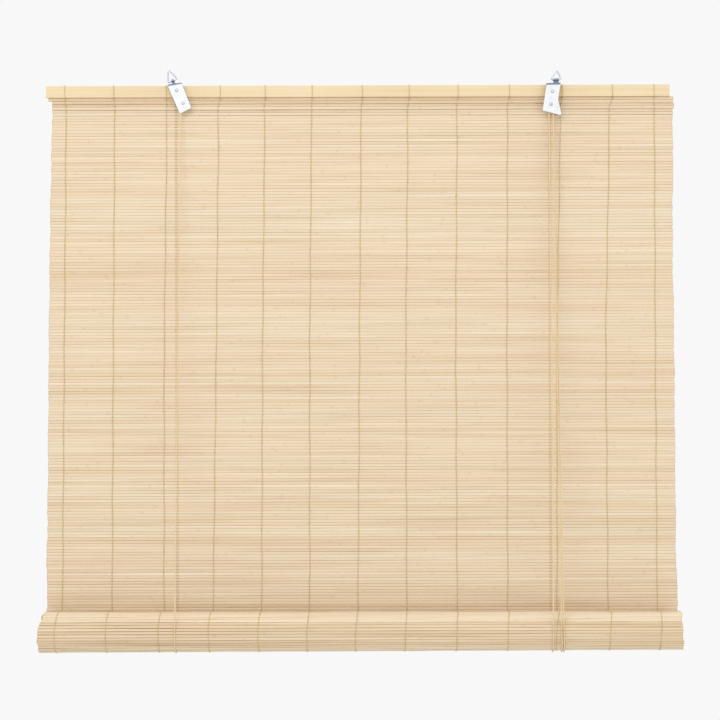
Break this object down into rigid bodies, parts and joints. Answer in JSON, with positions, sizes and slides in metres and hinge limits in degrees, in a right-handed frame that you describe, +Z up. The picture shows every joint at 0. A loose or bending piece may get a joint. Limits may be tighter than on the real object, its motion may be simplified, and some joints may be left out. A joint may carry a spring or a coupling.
{
  "type": "bamboo roll up blind",
  "caption": "Woven bamboo slat blind, half lowered, its lower part rolled up in cords that run to a pulley bracket and a cord lock bracket hung by wire rings.",
  "frame": {"origin": "level with the hooks that the two rings hang on, midway along the head rail, on the centre plane of the mat", "axes": "+X along the head rail to the right as seen from the room, +Z up, -Y towards the room"},
  "size_m": [1.03, 0.0821, 0.9288],
  "materials": {
    "slat_bamboo": "bare split bamboo, satin on the skin side",
    "rail_bamboo": "planed bamboo lath, satin",
    "warp_thread": "twisted cotton and polyester thread",
    "cord": "braided cord",
    "zinc_plate": "bright zinc plate",
    "zinc_wire": "bright zinc plate",
    "zinc_rivet": "zinc plate",
    "pulley_nylon": "natural nylon",
    "bell_wood": "turned and lacquered"
  },
  "bodies": {
    "root": {"headrail_batten": "rail_bamboo", "mat_slats": "slat_bamboo", "warp_threads": "warp_thread", "left_bracket": "zinc_plate", "right_bracket": "zinc_plate", "left_anchor_knot": "cord", "right_anchor_knot": "cord", "left_fixing_rivet": "zinc_rivet", "right_fixing_rivet": "zinc_rivet", "left_spacer": "zinc_rivet", "right_spacer": "zinc_rivet", "left_axle_rivet": "zinc_rivet", "right_axle_rivet": "zinc_rivet", "cam_pin": "zinc_rivet", "left_lift_cord_front": "cord", "left_lift_cord_back": "cord", "left_lift_cord_cross": "cord", "right_lift_cord_front": "cord", "right_lift_cord_back": "cord", "right_lift_cord_turn": "cord", "pull_cords_front": "cord", "pull_cords_back": "cord", "tail_nail": "zinc_wire", "cord_bell": "bell_wood", "tail_knot": "cord"},
    "slings": {"left_lift_cord_sling": "cord", "right_lift_cord_sling": "cord", "pull_cords_sling": "cord"},
    "roll": {"mat_roll": "slat_bamboo", "bottom_batten": "rail_bamboo"},
    "left_wheel": {"left_pulley": "pulley_nylon"},
    "right_wheel": {"right_pulley": "pulley_nylon"},
    "left_hanger": {"left_ring": "zinc_wire"},
    "right_hanger": {"right_ring": "zinc_wire"},
    "cam": {"lock_cam": "zinc_rivet"}
  },
  "joints": [
    {"name": "roll_lift", "type": "slide", "parent": "root", "child": "slings", "axis": [0, 0, 1], "range_m": [0, 0.76], "deforming": ["mat_slats", "warp_threads", "left_lift_cord_front", "right_lift_cord_front", "pull_cords_front", "left_lift_cord_back", "right_lift_cord_back", "pull_cords_back"]},
    {"name": "roll_turn", "type": "hinge", "parent": "slings", "child": "roll", "pos_m": [0, -0.0317, -0.893], "axis": [1, 0, 0], "range_deg": [-1445, 5]},
    {"name": "left_wheel_turn", "type": "hinge", "parent": "root", "child": "left_wheel", "pos_m": [-0.279, -0.0062, -0.0531], "axis": [0, 1, 0], "continuous": true},
    {"name": "right_wheel_turn", "type": "hinge", "parent": "root", "child": "right_wheel", "pos_m": [0.3086, -0.0078, -0.0568], "axis": [0, 1, 0], "continuous": true},
    {"name": "left_ring_swing", "type": "hinge", "parent": "root", "child": "left_hanger", "pos_m": [-0.2962, -0.002, -0.01615], "axis": [0.9195, 0, 0.3932], "range_deg": [-75, 75]},
    {"name": "right_ring_swing", "type": "hinge", "parent": "root", "child": "right_hanger", "pos_m": [0.3174, -0.002, -0.0164], "axis": [0.9969, 0, 0.0793], "range_deg": [-75, 75]},
    {"name": "cam_swing", "type": "hinge", "parent": "root", "child": "cam", "pos_m": [0.3192, -0.0084, -0.062], "axis": [0, 1, 0], "range_deg": [-40, 0]}
  ],
  "couplings": [
    {"joint": "roll_turn", "follows": "roll_lift", "rad_per_m": -33.069},
    {"joint": "left_wheel_turn", "follows": "roll_lift", "rad_per_m": 588.24},
    {"joint": "right_wheel_turn", "follows": "roll_lift", "rad_per_m": 588.24}
  ]
}
